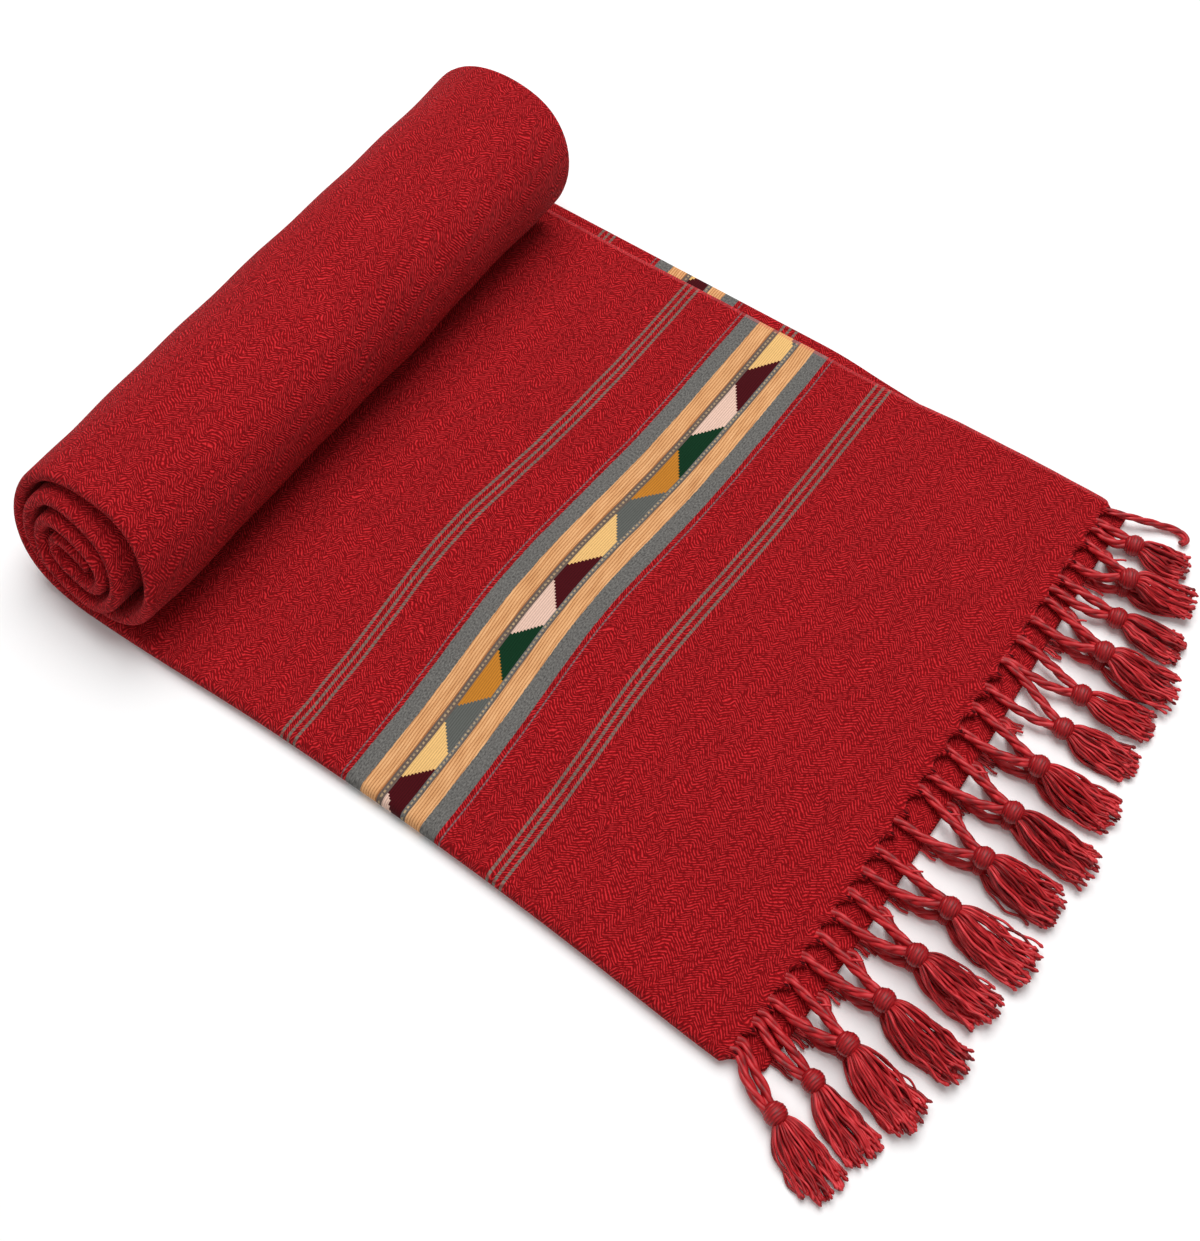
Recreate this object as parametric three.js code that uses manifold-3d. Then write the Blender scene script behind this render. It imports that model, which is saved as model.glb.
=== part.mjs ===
// A woollen muffler, folded once along its length, lying flat on a table. Its far end
// is rolled up on top of the flat stretch and its near end has a knotted tassel fringe.
// Millimetres, +Z up. X runs from the roll to the fringe, Y from the fold edge to the
// two free selvedges. The cloth is laid out with the hem at x = 0, the fold edge at
// y = 0 and the table at z = 0, and the whole group is centred at the end.

import * as THREE from 'three';
import { mergeVertices } from 'three/addons/utils/BufferGeometryUtils.js';
import Module from 'manifold-3d';

const wasm = await Module();
wasm.setup();

// Cloth
const foldedWidth = 180;
const layerThickness = 2.2;
const seamGap = 0.3;
const doubledThickness = 2 * layerThickness + seamGap;
const foldLip = 3.4;
const underHemReach = 6;
const underSelvedgeReach = 5;

// Roll: an oval spiral of doubled cloth round a flat core, leaning toward the selvedges
const hemToRollAxis = 204;
const rollRadius = 20.6;
const coreHalfLength = 7.75;
const coreHalfHeight = 1.6;
const turnPitch = doubledThickness + seamGap;
const turnsInAll = 3.57;
const rollLean = 0.38;
const rollDrawIn = 8;
const rolledUnderReach = 1.5;

// Fringe
const rootPitch = 6.45;
const firstRoot = 3.2;
const cordRadius = 1.05;
const beadRadius = 2.75;
const underBeadRadius = 2.3;
const strandRadius = 0.5;
const bedHeight = 3.1;
const stackedHeight = 6.85;
const upperLayerMid = doubledThickness - layerThickness / 2;

// Each tassel has two twisted cords from its roots along the hem, a wound bead and a
// skirt. Heading is in degrees from +X, and a stacked tassel lies on another one.
const tassels = [
  { roots: [0, 0.4], beadX: 13.5, beadY: -4.7, heading: -16, reach: 19.0, spread: 4.5, stacked: false },
  { roots: [1, 1.4], beadX: 16.5, beadY: 6.2, heading: -17, reach: 18.3, spread: 4.5, stacked: false },
  { roots: [2, 3], beadX: 18.6, beadY: 16.7, heading: -12, reach: 20.6, spread: 5.0, stacked: true },
  { roots: [4, 5], beadX: 20.1, beadY: 29.9, heading: -6, reach: 21.5, spread: 5.2, stacked: true },
  { roots: [6, 7], beadX: 20.8, beadY: 43.2, heading: -1, reach: 19.3, spread: 5.2, stacked: true },
  { roots: [8, 9], beadX: 21.4, beadY: 57.3, heading: 0, reach: 19.5, spread: 5.2, stacked: true },
  { roots: [10, 11], beadX: 21.8, beadY: 72.6, heading: 1, reach: 20.0, spread: 5.2, stacked: true },
  { roots: [12, 13], beadX: 21.8, beadY: 86.7, heading: 0, reach: 22.0, spread: 5.2, stacked: true },
  { roots: [14, 15], beadX: 21.1, beadY: 100.9, heading: 2, reach: 20.8, spread: 5.0, stacked: true },
  { roots: [16, 17], beadX: 21.0, beadY: 115.2, heading: 4, reach: 18.7, spread: 4.8, stacked: false },
  { roots: [18, 19], beadX: 20.4, beadY: 126.0, heading: 8, reach: 18.1, spread: 4.8, stacked: false },
  { roots: [20, 21], beadX: 19.5, beadY: 138.0, heading: 7, reach: 19.7, spread: 5.0, stacked: true },
  { roots: [22, 23], beadX: 17.6, beadY: 151.0, heading: 6, reach: 16.9, spread: 4.4, stacked: false },
  { roots: [24, 25], beadX: 14.9, beadY: 160.8, heading: 20, reach: 16.8, spread: 4.4, stacked: true },
  { roots: [25.7, 26.1], beadX: 11.2, beadY: 173.2, heading: 9, reach: 13.8, spread: 4.0, stacked: false },
];

// Loose threads of the under layer's own hem, seen between the cords
const threadStubs = [
  { y: 5.4, threads: 2 },
  { y: 13.6, threads: 3 },
  { y: 26.9, threads: 3 },
  { y: 40.2, threads: 3 },
  { y: 54.3, threads: 3 },
  { y: 69.6, threads: 3 },
  { y: 83.7, threads: 3 },
  { y: 97.9, threads: 3 },
  { y: 109.6, threads: 2 },
  { y: 134.9, threads: 3 },
  { y: 157.3, threads: 2 },
];

const clothMaterial = new THREE.MeshStandardMaterial({ color: 0xa51a22, roughness: 0.92, metalness: 0 });
const underMaterial = new THREE.MeshStandardMaterial({ color: 0x8f151d, roughness: 0.92, metalness: 0 });
const fringeMaterial = new THREE.MeshStandardMaterial({ color: 0xae1e2c, roughness: 0.8, metalness: 0 });

const muffler = new THREE.Group();

function addPiece(name, geometry, material) {
  const piece = new THREE.Mesh(geometry, material);
  piece.name = name;
  muffler.add(piece);
}

// Sizes of the cloth's outline

// The fold edge bows in slightly behind the stripes and out at the hem corner.
function foldBow(x) {
  return 1.3 * Math.exp(-(((x + 100) / 55) ** 2)) - 2.2 * Math.exp(-(((x - 5) / 40) ** 2));
}

// The hem falls back a little toward the fold corner.
function hemSetBack(y) {
  const nearness = Math.max(0, 1 - y / 60);
  return -2 * nearness * nearness;
}

function hemWeight(x) {
  return THREE.MathUtils.smoothstep(x, -60, 0);
}

// The under layer shows past the upper one from the roll to the last group of stripes.
function underSelvedge(x) {
  return foldedWidth + underSelvedgeReach * (1 - THREE.MathUtils.smoothstep(x, -78, -44));
}

// Closed solids from rings of points

function signedVolume(positions, indices) {
  const corner = [new THREE.Vector3(), new THREE.Vector3(), new THREE.Vector3()];
  let volume = 0;
  for (let i = 0; i < indices.length; i += 3) {
    corner.forEach((point, k) => point.fromArray(positions, 3 * indices[i + k]));
    volume += corner[0].dot(corner[1].cross(corner[2])) / 6;
  }
  return volume;
}

// Joins equal rings of points in order and closes both ends with the section's own faces.
function solidFromRings(rings, section) {
  const count = section.length;
  const outline = section.map(([across, height]) => new THREE.Vector2(across, height));
  const endFaces = THREE.ShapeUtils.triangulateShape(outline, []);
  const lastRing = (rings.length - 1) * count;
  let indices = [];
  for (let ring = 0; ring < rings.length - 1; ring += 1) {
    for (let i = 0; i < count; i += 1) {
      const here = ring * count + i;
      const next = ring * count + ((i + 1) % count);
      indices.push(here, next, here + count, next, next + count, here + count);
    }
  }
  const windsForward = THREE.ShapeUtils.area(outline) > 0;
  for (const [a, b, c] of endFaces) {
    const [first, second] = windsForward ? [b, c] : [c, b];
    indices.push(a, second, first, lastRing + a, lastRing + first, lastRing + second);
  }
  const positions = rings.flat(2);
  if (signedVolume(positions, indices) < 0) indices = indices.reverse();
  const geometry = new THREE.BufferGeometry();
  geometry.setAttribute('position', new THREE.Float32BufferAttribute(positions, 3));
  geometry.setIndex(indices);
  return geometry;
}

function arc(centreAcross, radius, fromDegrees, toDegrees, steps) {
  return Array.from({ length: steps + 1 }, (_, i) => {
    const angle = THREE.MathUtils.degToRad(fromDegrees + ((toDegrees - fromDegrees) * i) / steps);
    return [centreAcross + radius * Math.cos(angle), radius * Math.sin(angle)];
  });
}

// Sections across the cloth: distance from the fold edge, height from the middle

const half = doubledThickness / 2;
const acrossStops = [30, 60, 110];

// Doubled cloth, open at the selvedges and round at the fold
function foldedSection(lowerEdge, upperEdge) {
  const lowerStops = acrossStops.filter((y) => y < lowerEdge);
  return [
    [lowerEdge, -half],
    ...[...lowerStops].reverse().map((y) => [y, -half]),
    ...arc(half, half, 270, 90, 6),
    ...acrossStops.map((y) => [y, half]),
    [upperEdge, half],
    [upperEdge, seamGap / 2],
    ...[...acrossStops].reverse().map((y) => [y, seamGap / 2]),
    ...arc(half, seamGap / 2, 90, 270, 2),
    ...lowerStops.map((y) => [y, -seamGap / 2]),
    [lowerEdge, -seamGap / 2],
  ];
}

function underSection(selvedge) {
  return [
    [foldLip + seamGap, -half],
    ...acrossStops.map((y) => [y, -half]),
    [selvedge, -half],
    [selvedge, -seamGap / 2],
    ...[...acrossStops].reverse().map((y) => [y, -seamGap / 2]),
    [foldLip + seamGap, -seamGap / 2],
  ];
}

// Flat stretch

const flatStops = [-180, -160, -140, -120, -100, -80, -70, -60, -50, -40, -30, -20, -10, 0];

function flatPoint(x, [across, height]) {
  const share = 1 - across / foldedWidth;
  return [x + hemSetBack(across) * hemWeight(x), across + foldBow(x) * share, half + height];
}

function topLayer() {
  const start = -hemToRollAxis + seamGap;
  const section = foldedSection(foldLip, foldedWidth);
  const rings = [start, ...flatStops].map((x) => section.map((point) => flatPoint(x, point)));
  return solidFromRings(rings, section);
}

function underLayer() {
  const start = -hemToRollAxis + seamGap;
  const stops = [start, ...flatStops, underHemReach];
  const rings = stops.map((x) => underSection(underSelvedge(x)).map((point) => flatPoint(x, point)));
  return solidFromRings(rings, underSection(foldedWidth));
}

// Rolled end

// The middle of the doubled cloth at a number of turns from the bottom of the roll,
// where the flat stretch meets it. It climbs on the far side and goes round inward.
function rollPoint(turn) {
  const angle = 2 * Math.PI * turn;
  const outX = -Math.sin(angle);
  const outZ = -Math.cos(angle);
  const radius = rollRadius - half - turnPitch * turn;
  const core = Math.hypot(coreHalfLength * outX, coreHalfHeight * outZ);
  return {
    x: -hemToRollAxis + radius * outX + (coreHalfLength ** 2 * outX) / core,
    z: rollRadius + coreHalfHeight + radius * outZ + (coreHalfHeight ** 2 * outZ) / core,
    inX: -outX,
    inZ: -outZ,
  };
}

// Steps along the spiral are short where it bends and long where it runs straight.
function rollStops(firstTurn, lastTurn, bendStep, longestStep) {
  const stops = [firstTurn];
  const samples = 4000;
  let last = rollPoint(firstTurn);
  let lastTurnStop = firstTurn;
  for (let i = 1; i < samples; i += 1) {
    const turn = firstTurn + ((lastTurn - firstTurn) * i) / samples;
    const here = rollPoint(turn);
    const bend = (360 * (turn - lastTurnStop)) / bendStep;
    const run = Math.hypot(here.x - last.x, here.z - last.z) / longestStep;
    if (bend + run >= 1) {
      stops.push(turn);
      last = here;
      lastTurnStop = turn;
    }
  }
  if (lastTurn - lastTurnStop < bendStep / 1080) stops.pop();
  return [...stops, lastTurn];
}

// The selvedges draw in as the cloth leaves the table.
function rolledSection(turn) {
  const drawn = THREE.MathUtils.smoothstep(turn, 0, 0.3);
  const upperEdge = foldedWidth - rollDrawIn * drawn;
  const lowerReach = THREE.MathUtils.lerp(underSelvedgeReach, rolledUnderReach, drawn);
  return foldedSection(upperEdge + lowerReach, upperEdge);
}

function rolledCloth(firstTurn, lastTurn, bendStep, longestStep) {
  const rings = rollStops(firstTurn, lastTurn, bendStep, longestStep).map((turn) => {
    const { x, z, inX, inZ } = rollPoint(turn);
    const leanShift = rollLean * (z - half);
    return rolledSection(turn).map(([across, height]) => [
      x + height * inX,
      across + leanShift,
      z + height * inZ,
    ]);
  });
  return solidFromRings(rings, rolledSection(firstTurn));
}

// Fringe

function toManifold(geometry) {
  const bare = geometry.clone();
  bare.deleteAttribute('normal');
  bare.deleteAttribute('uv');
  const merged = mergeVertices(bare, 1e-4);
  const vertProperties = new Float32Array(merged.attributes.position.array);
  const triVerts = new Uint32Array(merged.index.array);
  return new wasm.Manifold(new wasm.Mesh({ numProp: 3, vertProperties, triVerts }));
}

function fused(geometries) {
  const joined = geometries.map(toManifold).reduce((whole, solid) => whole.add(solid));
  const mesh = joined.getMesh();
  const geometry = new THREE.BufferGeometry();
  geometry.setAttribute('position', new THREE.Float32BufferAttribute(mesh.vertProperties, 3));
  geometry.setIndex(Array.from(mesh.triVerts));
  return geometry;
}

function strand(points, radius, sides, steps) {
  const outline = new THREE.Shape(
    Array.from({ length: sides }, (_, i) => {
      const angle = (2 * Math.PI * i) / sides;
      return new THREE.Vector2(radius * Math.cos(angle), radius * Math.sin(angle));
    }),
  );
  const route = new THREE.CatmullRomCurve3(points.map((point) => new THREE.Vector3(...point)));
  return new THREE.ExtrudeGeometry(outline, { extrudePath: route, steps, bevelEnabled: false });
}

function bead(radius, x, y, z) {
  return new THREE.SphereGeometry(radius, 8, 5).translate(x, y, z);
}

function rootAcross(root) {
  return firstRoot + rootPitch * root;
}

// A cord runs out level from the hem and then bends to its bead.
function hemCord(hemX, y, z, radius, head) {
  const start = hemX + seamGap + 0.05;
  const bend = Math.max(start + 2, underHemReach + 1);
  const share = (bend - start) / (head.x - start);
  return strand([
    [start, y, z],
    [start + 1.2, y, z],
    [bend, y + (head.y - y) * share * 0.8, Math.max(z, z + (head.z - z) * share)],
    [head.x - 0.8, head.y + Math.sign(y - head.y) * 0.4, head.z],
  ], radius, 4, 4);
}

// A skirt of strands fans out of the bead and falls to its tips. Places are along the
// heading, to the side and up.
function skirt(head, heading, reach, spread, count, heights, radius) {
  const angle = THREE.MathUtils.degToRad(heading);
  const place = (along, side, z) => [
    head.x + along * Math.cos(angle) - side * Math.sin(angle),
    head.y + along * Math.sin(angle) + side * Math.cos(angle),
    z,
  ];
  return Array.from({ length: count }, (_, i) => {
    const side = count > 1 ? (2 * i) / (count - 1) - 1 : 0;
    const row = heights[i % 2];
    const uneven = 1 - 0.08 * ((i * 5) % 3) - 0.1 * side * side;
    return strand([
      place(1, side * 0.5, head.z),
      place(head.radius + 3.2, side * spread * 0.78, row.shoulder),
      place(reach * 0.66, side * spread, row.middle),
      place(reach * uneven, side * spread * 0.98, row.tip),
    ], radius, 3, 3);
  });
}

const stackedRows = [
  { shoulder: 5.9, middle: 4.0, tip: 2.9 },
  { shoulder: 4.4, middle: 2.8, tip: 2.2 },
];
const beddedRows = [
  { shoulder: 3.7, middle: 2.6, tip: 1.6 },
  { shoulder: 2.2, middle: 1.3, tip: 0.9 },
];
const underRows = [
  { shoulder: 1.4, middle: 0.9, tip: 0.8 },
  { shoulder: 1.3, middle: 0.85, tip: 0.8 },
];

function tassel({ roots, beadX, beadY, heading, reach, spread, stacked }) {
  const head = { x: beadX, y: beadY, z: stacked ? stackedHeight : bedHeight, radius: beadRadius };
  const cords = roots.map((root) => {
    const y = rootAcross(root);
    return hemCord(hemSetBack(y), y, upperLayerMid, cordRadius, head);
  });
  const rows = stacked ? stackedRows : beddedRows;
  return fused([
    bead(head.radius, head.x, head.y, head.z),
    ...cords,
    ...skirt(head, heading, reach, spread, 9, rows, strandRadius),
  ]);
}

// The under layer's tassels lie below, a little toward the fold edge.
const underOffsetX = 0.9;
const underOffsetY = -3;
const underRootSpread = 4.2;
const underBedHeight = 2.5;
const lowerLayerMid = 1.25;

function underTassel({ beadX, beadY, heading, reach }) {
  const head = {
    x: beadX + underOffsetX,
    y: beadY + underOffsetY,
    z: underBedHeight,
    radius: underBeadRadius,
  };
  const cords = [-underRootSpread, underRootSpread].map((offset) => {
    const y = head.y + offset;
    return hemCord(underHemReach + hemSetBack(y), y, lowerLayerMid, 0.9, head);
  });
  return fused([
    bead(head.radius, head.x, head.y, head.z),
    ...cords,
    ...skirt(head, heading, reach - 1.5, 3.2, 4, underRows, 0.45),
  ]);
}

function threadStub({ y, threads }) {
  const hemX = underHemReach + hemSetBack(y) + seamGap;
  const width = 1.4 * threads;
  const strip = new THREE.BoxGeometry(0.8, width, 1).translate(hemX + 0.4, y, 1.1);
  const strands = Array.from({ length: threads }, (_, i) => {
    const side = (i - (threads - 1) / 2) * 1.35;
    return strand([
      [hemX + 0.3, y + side * 0.9, 1.1],
      [hemX + 2.4, y + side + 0.2, 1.2],
      [hemX + 4.8 - 0.5 * (i % 2), y + side * 1.05 - 0.2, 0.75],
    ], 0.45, 3, 3);
  });
  return fused([strip, ...strands]);
}

// One last twisted cord at the selvedge corner ends in a small curl on the table.
function endCord() {
  return strand([
    [seamGap + 0.05, 178.7, upperLayerMid],
    [2, 179, upperLayerMid],
    [6.8, 181, 3.6],
    [12, 183.6, 2.3],
    [16.5, 185.4, 1.5],
    [19.6, 185.9, 1.35],
    [21.6, 184.6, 1.4],
    [20.9, 182.9, 1.6],
  ], cordRadius, 4, 16);
}

addPiece('top_layer', topLayer(), clothMaterial);
addPiece('under_layer', underLayer(), underMaterial);
addPiece('roll_outer_turn', rolledCloth(0, 1, 16, 40), clothMaterial);
addPiece('roll_inner_turns', rolledCloth(1 + seamGap / 100, turnsInAll, 30, 30), clothMaterial);

const twoDigits = (number) => String(number).padStart(2, '0');
tassels.forEach((row, i) => {
  addPiece(`tassel_${twoDigits(i + 1)}`, tassel(row), fringeMaterial);
  if (row.stacked) addPiece(`under_tassel_${twoDigits(i + 1)}`, underTassel(row), fringeMaterial);
});
threadStubs.forEach((row, i) => {
  addPiece(`thread_stub_${twoDigits(i + 1)}`, threadStub(row), fringeMaterial);
});
addPiece('end_cord', endCord(), fringeMaterial);

// The origin is the middle of the box's bottom face.
const box = new THREE.Box3().setFromObject(muffler);
const centre = box.getCenter(new THREE.Vector3());
muffler.position.set(-centre.x, -centre.y, -box.min.z);

export default muffler;
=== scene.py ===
import math

import bpy
import numpy as np
from mathutils import Matrix, Vector


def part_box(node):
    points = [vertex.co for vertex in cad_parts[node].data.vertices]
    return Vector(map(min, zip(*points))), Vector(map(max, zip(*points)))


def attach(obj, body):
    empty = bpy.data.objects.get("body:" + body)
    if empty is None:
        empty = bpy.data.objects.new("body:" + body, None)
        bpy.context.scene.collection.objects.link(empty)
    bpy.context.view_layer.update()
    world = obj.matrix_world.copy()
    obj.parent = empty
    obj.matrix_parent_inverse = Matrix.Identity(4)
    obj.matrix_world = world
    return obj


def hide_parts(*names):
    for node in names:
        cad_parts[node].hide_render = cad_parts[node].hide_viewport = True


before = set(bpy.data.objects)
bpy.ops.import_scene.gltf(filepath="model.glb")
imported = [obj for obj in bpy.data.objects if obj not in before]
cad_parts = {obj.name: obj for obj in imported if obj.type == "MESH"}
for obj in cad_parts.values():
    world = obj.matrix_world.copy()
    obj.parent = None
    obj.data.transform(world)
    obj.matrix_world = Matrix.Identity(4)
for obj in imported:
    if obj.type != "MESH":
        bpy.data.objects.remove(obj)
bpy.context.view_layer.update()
scene = bpy.context.scene
scene.view_settings.view_transform = "Standard"

# A folded woollen muffler: flat at the hem end, rolled up at the other, with a tassel
# fringe. It is worked out in millimetres with the hem along x = 0, the fold edge along
# y = 0 and the table at z = 0, and only goes into the frame's own place as a mesh.
cloth = {
    "foldedWidth": 180.0,
    "thickness": 2.2,
    "layerGap": 0.3,
    "foldLip": 3.4,
    "foldBells": [(1.3, -100, 55), (-2.2, 5, 40)],  # height, place and width along the fold edge
    "foldFlare": 1.75,
    "foldFlareAlong": (140, 205),
    "hemSetBack": 2.0,
    "hemSetBackWidth": 60,
    "hemSelvedgeReach": 1.6,
    "hemSelvedgeAlong": (-78, -44),
    "hemSelvedgeAcross": (120, 180),
    "underHemReach": 8.2,
    "underHemDraw": 0.32,  # share of its reach that the lower hem loses at the selvedges
    "underHemDrawAcross": (80, 170),
    "underSelvedgeReach": 5.0,
    "underSelvedgeAlong": (-92, -40),
}
layerMiddle = (cloth["thickness"] + cloth["layerGap"]) / 2
halfDoubled = cloth["thickness"] + cloth["layerGap"] / 2
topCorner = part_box("top_layer")[1]
clothOrigin = np.array([topCorner[0], topCorner[1] - cloth["foldedWidth"] / 1000, 0.0])


# Camera, fitted to the photograph's own perspective

cameraPlace = {
    "position": (31.75, -77.96, 359.55),
    "heading": 129.026,  # degrees from +X
    "downward": 61.255,
    "tilt": -3.562,
    "lens": 46.8,  # on a 36 mm sensor as wide as the picture
}


def makeCamera(place):
    data = bpy.data.cameras.new("studioCamera")
    data.sensor_fit = "HORIZONTAL"
    data.sensor_width = 36.0
    data.lens = place["lens"]
    data.clip_start, data.clip_end = 0.01, 20.0
    camera = bpy.data.objects.new("studioCamera", data)
    scene.collection.objects.link(camera)
    heading, downward, tilt = (math.radians(place[k]) for k in ("heading", "downward", "tilt"))
    level = np.array([math.cos(heading), math.sin(heading), 0.0])
    ahead = level * math.cos(downward) + np.array([0.0, 0.0, -math.sin(downward)])
    right = np.cross(ahead, (0.0, 0.0, 1.0))
    right /= np.linalg.norm(right)
    above = np.cross(right, ahead)
    turnedRight = math.cos(tilt) * right + math.sin(tilt) * above
    turnedAbove = math.cos(tilt) * above - math.sin(tilt) * right
    stand = np.array(place["position"]) / 1000 + clothOrigin
    rows = np.column_stack([turnedRight, turnedAbove, -ahead, stand])
    camera.matrix_world = Matrix([*rows.tolist(), [0.0, 0.0, 0.0, 1.0]])
    scene.camera = camera


makeCamera(cameraPlace)
print("camera placed")


# Numpy helpers

# An S curve from 0 at low to 1 at high: three times the share squared less twice its cube
def smoothStep(value, low, high):
    share = np.clip((value - low) / (high - low), 0.0, 1.0)
    return share * share * (3.0 - 2.0 * share)


# Each vector over its own length
def unit(vectors):
    return vectors / np.maximum(np.linalg.norm(vectors, axis=-1, keepdims=True), 1e-9)


# Soft unevenness: cosines of the place in random directions, added up and evened out
def softWaves(x, y, seed, longest, count=7):
    draw = np.random.default_rng(seed)
    total = 0.0
    for angle, share, phase in zip(
        draw.uniform(0, 2 * math.pi, count), draw.uniform(0.35, 1, count), draw.uniform(0, 6.3, count)
    ):
        across = x * math.cos(angle) + y * math.sin(angle)
        total = total + np.cos(2 * math.pi * across / (longest * share) + phase)
    return total / math.sqrt(count)


# Corner numbers of a grid's quads, with the last column joined to the first
def ringFaces(rings, around):
    ring, place = np.meshgrid(np.arange(rings - 1), np.arange(around), indexing="ij")
    after = (place + 1) % around
    here, above = ring * around, (ring + 1) * around
    return np.stack([here + place, here + after, above + after, above + place], -1).reshape(-1, 4)


# Six times the volume inside closed faces: each face is a fan of triangles, and each
# triangle adds the product of its first corner with the cross product of the others
def facesVolume(points, faceSets):
    total = 0.0
    for faces in faceSets:
        first = points[faces[:, 0]]
        for k in range(1, faces.shape[1] - 1):
            total += np.einsum("ij,ij->", first, np.cross(points[faces[:, k]], points[faces[:, k + 1]]))
    return total


# Puts points and faces into a mesh at the frame's place, facing outward, with one value
# of three numbers at each point for the materials to read
def addPiece(name, made, finish, nodes):
    points, faceSets, values = made
    points = np.asarray(points, float).reshape(-1, 3)
    if facesVolume(points, faceSets) < 0:
        faceSets = [faces[:, ::-1] for faces in faceSets]
    counts = np.concatenate([np.full(len(faces), faces.shape[1]) for faces in faceSets])
    corners = np.concatenate([faces.ravel() for faces in faceSets])
    mesh = bpy.data.meshes.new(name)
    mesh.vertices.add(len(points))
    mesh.vertices.foreach_set("co", (points / 1000 + clothOrigin).ravel())
    mesh.loops.add(len(corners))
    mesh.loops.foreach_set("vertex_index", corners.astype(np.int32))
    mesh.polygons.add(len(counts))
    mesh.polygons.foreach_set("loop_start", (np.cumsum(counts) - counts).astype(np.int32))
    mesh.polygons.foreach_set("loop_total", counts.astype(np.int32))
    mesh.polygons.foreach_set("use_smooth", np.ones(len(counts), bool))
    lay = mesh.attributes.new("clothPlace", "FLOAT_VECTOR", "POINT")
    lay.data.foreach_set("vector", np.asarray(values, float).ravel())
    mesh.update(calc_edges=True)
    mesh.validate()
    mesh.materials.append(finish)
    piece = bpy.data.objects.new(name, mesh)
    scene.collection.objects.link(piece)
    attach(piece, "root")
    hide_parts(*nodes)
    return piece


# Shader building

class Value:  # one socket, so that shader maths reads as plain sums
    def __init__(self, finish, socket):
        self.finish = finish
        self.socket = socket

    def also(self, output):
        return Value(self.finish, self.socket.node.outputs[output])

    def __add__(self, other):
        return self.finish.maths("ADD", self, other)

    def __radd__(self, other):
        return self.finish.maths("ADD", other, self)

    def __sub__(self, other):
        return self.finish.maths("SUBTRACT", self, other)

    def __rsub__(self, other):
        return self.finish.maths("SUBTRACT", other, self)

    def __mul__(self, other):
        return self.finish.maths("MULTIPLY", self, other)

    def __rmul__(self, other):
        return self.finish.maths("MULTIPLY", other, self)

    def __truediv__(self, other):
        return self.finish.maths("DIVIDE", self, other)

    def __lt__(self, other):
        return self.finish.maths("LESS_THAN", self, other)

    def __gt__(self, other):
        return self.finish.maths("GREATER_THAN", self, other)

    def __mod__(self, other):
        return self.finish.maths("FLOORED_MODULO", self, other)

    def __abs__(self):
        return self.finish.maths("ABSOLUTE", self)


class Finish:  # a material and the one way that nodes are put into it
    def __init__(self, name):
        self.material = bpy.data.materials.new(name)
        self.material.use_nodes = True
        self.tree = self.material.node_tree
        self.shader = self.tree.nodes["Principled BSDF"]

    def add(self, kind, settings, inputs, output=0):
        node = self.tree.nodes.new(kind)
        for key, setting in settings.items():
            if key == "stops":
                self.fillRamp(node.color_ramp, setting)
            else:
                setattr(node, key, setting)
        for key, value in inputs.items():
            self.feed(node.inputs[key], value)
        return Value(self, node.outputs[output])

    def fillRamp(self, ramp, stops):
        while len(ramp.elements) < len(stops):
            ramp.elements.new(1.0)
        for element, (place, colour) in zip(ramp.elements, stops):
            element.position = place
            element.color = colour

    def feed(self, socket, value):
        if isinstance(value, Value):
            self.tree.links.new(value.socket, socket)
        else:
            socket.default_value = value

    def maths(self, operation, *values):
        return self.add("ShaderNodeMath", {"operation": operation}, dict(enumerate(values)))

    def mix(self, factor, first, second):
        return self.add("ShaderNodeMix", {"data_type": "RGBA"}, {0: factor, 6: first, 7: second}, 2)

    def ramp(self, value, stops):
        return self.add("ShaderNodeValToRGB", {"stops": stops}, {0: value})

    def noise(self, place, scale, detail):
        return self.add("ShaderNodeTexNoise", {}, {"Vector": place, "Scale": scale, "Detail": detail})

    def eased(self, value, low, high):
        settings = {"interpolation_type": "SMOOTHSTEP"}
        return self.add("ShaderNodeMapRange", settings, {0: value, 1: low, 2: high})

    def place(self, x, y, z=0.0):
        return self.add("ShaderNodeCombineXYZ", {}, {0: x, 1: y, 2: z})

    def clothPlace(self):
        read = self.add("ShaderNodeAttribute", {"attribute_name": "clothPlace"}, {}, "Vector")
        parts = self.add("ShaderNodeSeparateXYZ", {}, {0: read})
        return parts, parts.also("Y"), parts.also("Z")

    def set(self, **values):
        for name, value in values.items():
            self.feed(self.shader.inputs[name.replace("_", " ")], value)

    def bump(self, height, distance, strength):
        return self.add(
            "ShaderNodeBump", {}, {"Height": height, "Distance": distance / 1000, "Strength": strength}
        )


# A dye as seen on a screen, 0 to 255, turned into the light it reflects
def dye(colour):
    shares = np.array(colour) / 255
    light = np.where(shares > 0.04, ((shares + 0.055) / 1.055) ** 2.4, shares / 12.92)
    return (*light.tolist(), 1.0)


flatStretch = {
    "length": 203.3,
    "step": 2.2,
    "swell": 0.32,  # height of the soft unevenness
    "firstRoot": 3.2,
    "rootPitch": 6.45,
    "rootCount": 28,
    "rootStops": (-2.9, -2.1, -1.4, -0.9, -0.45, 0, 0.45, 0.9, 1.4, 2.1),
    "archDepth": 0.6,
    "cuspReach": 2.2,
    "cuspWidth": 1.2,
    # at the selvedges the lower layer's stripes lie nearer the roll than the upper one's
    "underWeaveShift": 33.7,
    "underWeaveAcross": (100, 180),
    "underBlockShift": 1.36,
}


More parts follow.
